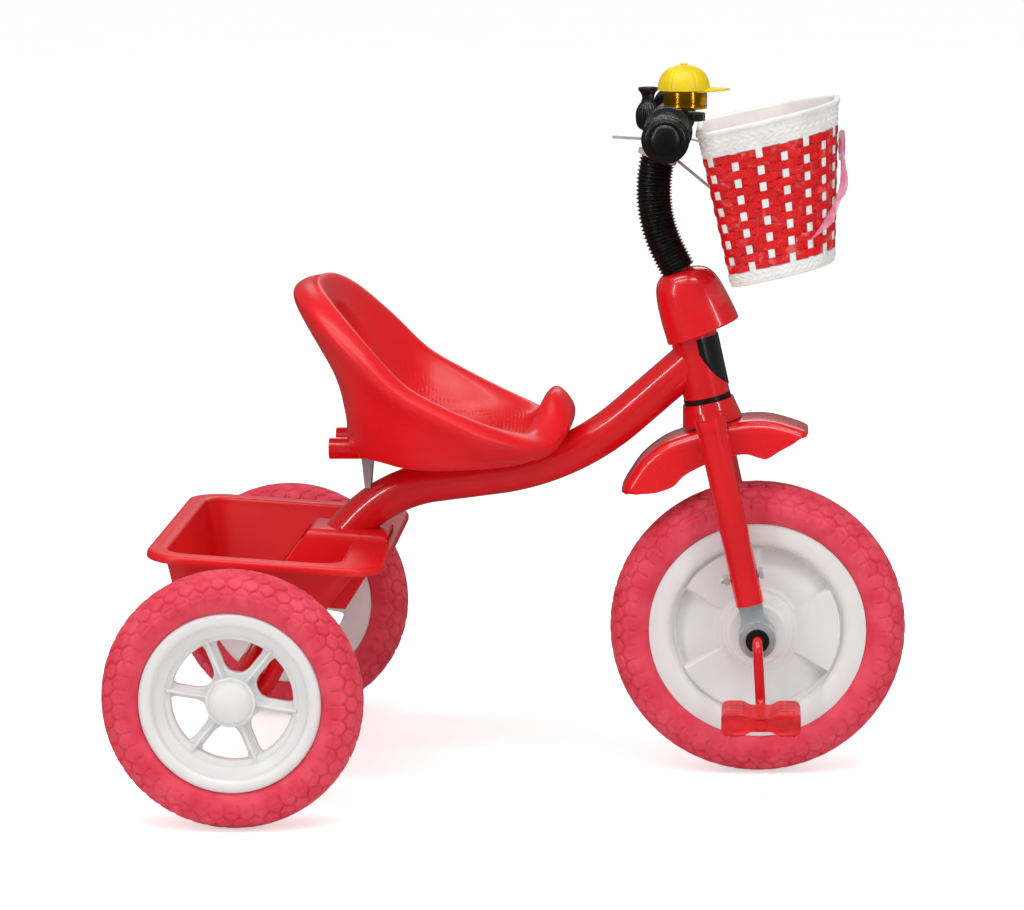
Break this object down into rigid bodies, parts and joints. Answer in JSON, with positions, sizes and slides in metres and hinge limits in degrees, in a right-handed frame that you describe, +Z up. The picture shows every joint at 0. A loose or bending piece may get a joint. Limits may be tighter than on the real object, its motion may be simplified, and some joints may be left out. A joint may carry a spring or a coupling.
{
  "type": "children's tricycle",
  "caption": "Child's pedal tricycle with a scoop seat on a bent steel frame, foam-tyred wheels, rear bucket, mudguard, handlebar basket, bell and squeeze horn.",
  "frame": {"origin": "on the floor, at the middle of the outline's length and width", "axes": "+X forward, +Y to the rider's left, +Z up"},
  "size_m": [0.664, 0.4464, 0.6146],
  "materials": {
    "red_enamel": "gloss enamel over steel",
    "red_plastic": "glossy moulded plastic",
    "red_pedal_plastic": "moulded plastic",
    "pink_foam": "moulded foam, satin",
    "white_wheel_plastic": "moulded plastic, satin gloss",
    "white_basket_plastic": "moulded braid texture",
    "red_ribbon_weave": "flat plastic ribbon, woven",
    "black_plastic": "moulded plastic",
    "black_rubber": "moulded rubber",
    "zinc_plate": "zinc plated",
    "chrome_plate": "bright chrome",
    "gold_chrome": "gold-toned bright plating",
    "yellow_plastic": "moulded plastic",
    "clear_nylon": "natural nylon",
    "pink_ribbon": "satin ribbon",
    "black_badge": "plain gloss plate"
  },
  "bodies": {
    "frame": {"main_tube": "red_enamel", "head_tube": "red_enamel", "head_badge": "black_badge", "headset_cup_lower": "black_plastic", "headset_cup_upper": "black_plastic", "rear_axle_tube": "red_enamel", "rear_axle": "zinc_plate", "axle_fasteners": "zinc_plate", "rear_stay_left": "red_enamel", "rear_stay_right": "red_enamel", "bucket": "red_plastic", "bucket_screws": "zinc_plate", "seat": "red_plastic", "seat_bracket": "zinc_plate", "seat_bolts": "zinc_plate", "push_bar_socket_left": "red_enamel", "push_bar_socket_right": "red_enamel"},
    "steering": {"fork_crown": "red_enamel", "fork_leg_left": "red_enamel", "fork_leg_right": "red_enamel", "steerer_tube": "zinc_plate", "dropout_left": "zinc_plate", "dropout_right": "zinc_plate", "dropout_bolts": "zinc_plate", "crank_bushes": "black_plastic", "fender": "red_plastic", "fender_screws": "zinc_plate", "steering_cover": "red_plastic", "stem": "chrome_plate", "stem_bellows": "black_rubber", "stem_clamp": "black_plastic", "handlebar": "chrome_plate", "grip_left": "black_rubber", "grip_right": "black_rubber", "bell_base": "black_plastic", "bell_dome": "gold_chrome", "bell_cap": "yellow_plastic", "horn_bulb": "black_rubber", "horn_trumpet": "black_plastic", "horn_clamp": "black_plastic", "basket_body": "white_basket_plastic", "basket_weave": "red_ribbon_weave", "basket_ties": "clear_nylon", "basket_ribbon": "pink_ribbon"},
    "bell_striker": {"bell_lever": "black_plastic"},
    "front_wheel": {"front_tyre": "pink_foam", "front_rim": "white_wheel_plastic", "crank": "red_enamel"},
    "pedal_left": {"pedal_left": "red_pedal_plastic"},
    "pedal_right": {"pedal_right": "red_pedal_plastic"},
    "rear_wheel_left": {"rear_tyre_left": "pink_foam", "rear_rim_left": "white_wheel_plastic", "rear_bushing_left": "white_wheel_plastic", "rear_hub_cap_left": "white_wheel_plastic"},
    "rear_wheel_right": {"rear_tyre_right": "pink_foam", "rear_rim_right": "white_wheel_plastic", "rear_bushing_right": "white_wheel_plastic", "rear_hub_cap_right": "white_wheel_plastic"}
  },
  "joints": [
    {"name": "steering_turn", "type": "hinge", "parent": "frame", "child": "steering", "pos_m": [0.205, 0, 0.127], "axis": [-0.2096, 0, 0.9778], "range_deg": [-40, 40]},
    {"name": "front_wheel_spin", "type": "hinge", "parent": "steering", "child": "front_wheel", "pos_m": [0.205, 0, 0.127], "axis": [0, 1, 0], "continuous": true},
    {"name": "pedal_left_spin", "type": "hinge", "parent": "front_wheel", "child": "pedal_left", "pos_m": [0.20212, 0.111, 0.18192], "axis": [0, 1, 0], "continuous": true},
    {"name": "pedal_right_spin", "type": "hinge", "parent": "front_wheel", "child": "pedal_right", "pos_m": [0.20788, -0.111, 0.07208], "axis": [0, 1, 0], "continuous": true},
    {"name": "rear_wheel_left_spin", "type": "hinge", "parent": "frame", "child": "rear_wheel_left", "pos_m": [-0.224, 0.2, 0.108], "axis": [0, 1, 0], "continuous": true},
    {"name": "rear_wheel_right_spin", "type": "hinge", "parent": "frame", "child": "rear_wheel_right", "pos_m": [-0.224, -0.2, 0.108], "axis": [0, 1, 0], "continuous": true},
    {"name": "bell_lever_press", "type": "hinge", "parent": "steering", "child": "bell_striker", "pos_m": [0.156, -0.058, 0.57], "axis": [0, 0, 1], "range_deg": [0, 22], "stiffness_Nm_per_rad": 0.02, "springref_deg": -5.73}
  ]
}
